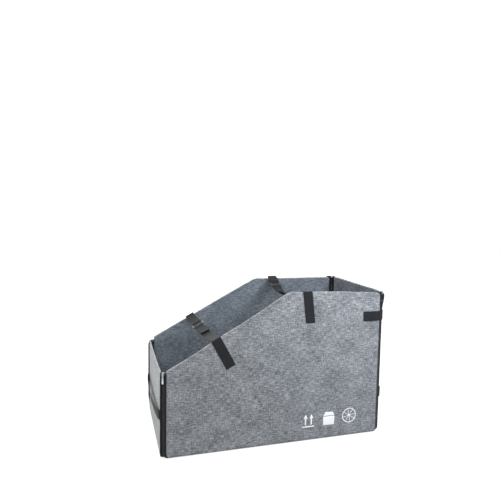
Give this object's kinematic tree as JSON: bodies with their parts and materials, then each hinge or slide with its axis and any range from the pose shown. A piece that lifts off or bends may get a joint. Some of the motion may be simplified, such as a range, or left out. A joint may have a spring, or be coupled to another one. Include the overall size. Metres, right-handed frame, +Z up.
{
  "type": "soft bike travel bag",
  "caption": "Open-topped travel bag for a folded bike: board-stiffened fabric walls with a sloped mouth, corner zips, straps across the mouth and end handles.",
  "frame": {"origin": "on the ground, at the middle of the bag's base", "axes": "+X along the bag from the short end to the tall end, +Y across it from the near side to the far side, +Z up"},
  "size_m": [0.9246, 0.466, 0.5817],
  "materials": {
    "melange_fabric": "grey melange woven polyester",
    "end_panel_fabric": "plain grey woven polyester",
    "lining_fabric": "blue-grey woven polyester",
    "stiffener_board": "light core board, hidden",
    "zip_tape": "black woven zip tape and coil",
    "black_webbing": "black ribbed polypropylene webbing",
    "loop_patch": "black loop pile",
    "adjuster_plastic": "satin black acetal",
    "slider_metal": "nickel-plated zinc"
  },
  "bodies": {
    "base": {"base_outer": "end_panel_fabric", "base_board": "stiffener_board", "base_lining": "lining_fabric"},
    "near_wall": {"near_outer": "melange_fabric", "near_board_lower": "stiffener_board", "near_board_upper": "stiffener_board", "near_lining": "lining_fabric", "strap_short_near_tab": "black_webbing", "strap_tall_near_tab": "black_webbing", "loop_patch_near": "loop_patch", "zip_near_short_side_half": "zip_tape", "zip_near_tall_side_half": "zip_tape"},
    "far_wall": {"far_outer": "melange_fabric", "far_board_lower": "stiffener_board", "far_board_upper": "stiffener_board", "far_lining": "lining_fabric", "strap_short_far_webbing": "black_webbing", "strap_short_adjuster": "adjuster_plastic", "strap_tall_far_webbing": "black_webbing", "strap_tall_adjuster": "adjuster_plastic", "loop_patch_far": "loop_patch", "zip_far_short_side_half": "zip_tape", "zip_far_tall_side_half": "zip_tape"},
    "short_end": {"short_end_outer": "end_panel_fabric", "short_end_board": "stiffener_board", "short_end_lining": "lining_fabric", "short_handle_stub_near": "black_webbing", "short_handle_stub_far": "black_webbing", "zip_near_short_end_half": "zip_tape", "zip_far_short_end_half": "zip_tape"},
    "tall_end": {"tall_end_outer": "end_panel_fabric", "tall_end_board": "stiffener_board", "tall_end_lining": "lining_fabric", "tall_handle_stub_near": "black_webbing", "tall_handle_stub_far": "black_webbing", "closing_strap": "black_webbing", "zip_near_tall_end_half": "zip_tape", "zip_far_tall_end_half": "zip_tape"},
    "short_handle": {"short_handle_loop": "black_webbing"},
    "tall_handle": {"tall_handle_loop": "black_webbing"},
    "strap_short_span": {"strap_short": "black_webbing"},
    "strap_tall_span": {"strap_tall": "black_webbing"},
    "closing_end_near": {"closing_tab_near": "black_webbing"},
    "closing_end_far": {"closing_tab_far": "black_webbing"},
    "zip_slider_near_short": {"slider_near_short": "slider_metal"},
    "zip_puller_near_short": {"puller_near_short": "slider_metal"},
    "zip_slider_far_short": {"slider_far_short": "slider_metal"},
    "zip_puller_far_short": {"puller_far_short": "slider_metal"},
    "zip_slider_near_tall": {"slider_near_tall": "slider_metal"},
    "zip_puller_near_tall": {"puller_near_tall": "slider_metal"},
    "zip_slider_far_tall": {"slider_far_tall": "slider_metal"},
    "zip_puller_far_tall": {"puller_far_tall": "slider_metal"}
  },
  "joints": [
    {"name": "near_wall_fold", "type": "hinge", "parent": "base", "child": "near_wall", "pos_m": [0, -0.23, 0], "axis": [1, 0, 0], "range_deg": [0, 90]},
    {"name": "far_wall_fold", "type": "hinge", "parent": "base", "child": "far_wall", "pos_m": [0, 0.23, 0], "axis": [-1, 0, 0], "range_deg": [0, 90]},
    {"name": "short_end_fold", "type": "hinge", "parent": "base", "child": "short_end", "pos_m": [-0.44, 0, 0], "axis": [0, -1, 0], "range_deg": [0, 90]},
    {"name": "tall_end_fold", "type": "hinge", "parent": "base", "child": "tall_end", "pos_m": [0.44, 0, 0], "axis": [0, 1, 0], "range_deg": [0, 90]},
    {"name": "short_handle_tilt", "type": "hinge", "parent": "short_end", "child": "short_handle", "pos_m": [-0.4411, 0, 0.158], "axis": [0, 1, 0], "range_deg": [-18, 15]},
    {"name": "tall_handle_tilt", "type": "hinge", "parent": "tall_end", "child": "tall_handle", "pos_m": [0.4411, 0, 0.158], "axis": [0, -1, 0], "range_deg": [-18, 15]},
    {"name": "strap_short_swing", "type": "hinge", "parent": "near_wall", "child": "strap_short_span", "pos_m": [-0.24302, -0.2322, 0.42372], "axis": [0.8777, 0, 0.4792], "range_deg": [0, 260]},
    {"name": "strap_tall_swing", "type": "hinge", "parent": "near_wall", "child": "strap_tall_span", "pos_m": [0.10835, -0.2322, 0.5769], "axis": [1, 0, 0], "range_deg": [0, 260]},
    {"name": "closing_end_near_peel", "type": "hinge", "parent": "tall_end", "child": "closing_end_near", "pos_m": [0.4419, -0.20965, 0.4805], "axis": [0, 0, 1], "range_deg": [0, 120]},
    {"name": "closing_end_far_peel", "type": "hinge", "parent": "tall_end", "child": "closing_end_far", "pos_m": [0.4419, 0.20965, 0.4805], "axis": [0, 0, -1], "range_deg": [0, 120]},
    {"name": "zip_near_short_run", "type": "slide", "parent": "near_wall", "child": "zip_slider_near_short", "axis": [0, 0, -1], "range_m": [0, 0.2675]},
    {"name": "puller_near_short_swing", "type": "hinge", "parent": "zip_slider_near_short", "child": "zip_puller_near_short", "pos_m": [-0.43138, -0.22138, 0.3095], "axis": [-0.7071, 0.7071, 0], "range_deg": [0, 165]},
    {"name": "zip_far_short_run", "type": "slide", "parent": "far_wall", "child": "zip_slider_far_short", "axis": [0, 0, -1], "range_m": [0, 0.2675]},
    {"name": "puller_far_short_swing", "type": "hinge", "parent": "zip_slider_far_short", "child": "zip_puller_far_short", "pos_m": [-0.43138, 0.22138, 0.3095], "axis": [0.7071, 0.7071, 0], "range_deg": [0, 165]},
    {"name": "zip_near_tall_run", "type": "slide", "parent": "near_wall", "child": "zip_slider_near_tall", "axis": [0, 0, -1], "range_m": [0, 0.5285]},
    {"name": "puller_near_tall_swing", "type": "hinge", "parent": "zip_slider_near_tall", "child": "zip_puller_near_tall", "pos_m": [0.43138, -0.22138, 0.5705], "axis": [-0.7071, -0.7071, 0], "range_deg": [0, 165]},
    {"name": "zip_far_tall_run", "type": "slide", "parent": "far_wall", "child": "zip_slider_far_tall", "axis": [0, 0, -1], "range_m": [0, 0.5285]},
    {"name": "puller_far_tall_swing", "type": "hinge", "parent": "zip_slider_far_tall", "child": "zip_puller_far_tall", "pos_m": [0.43138, 0.22138, 0.5705], "axis": [0.7071, -0.7071, 0], "range_deg": [0, 165]}
  ]
}
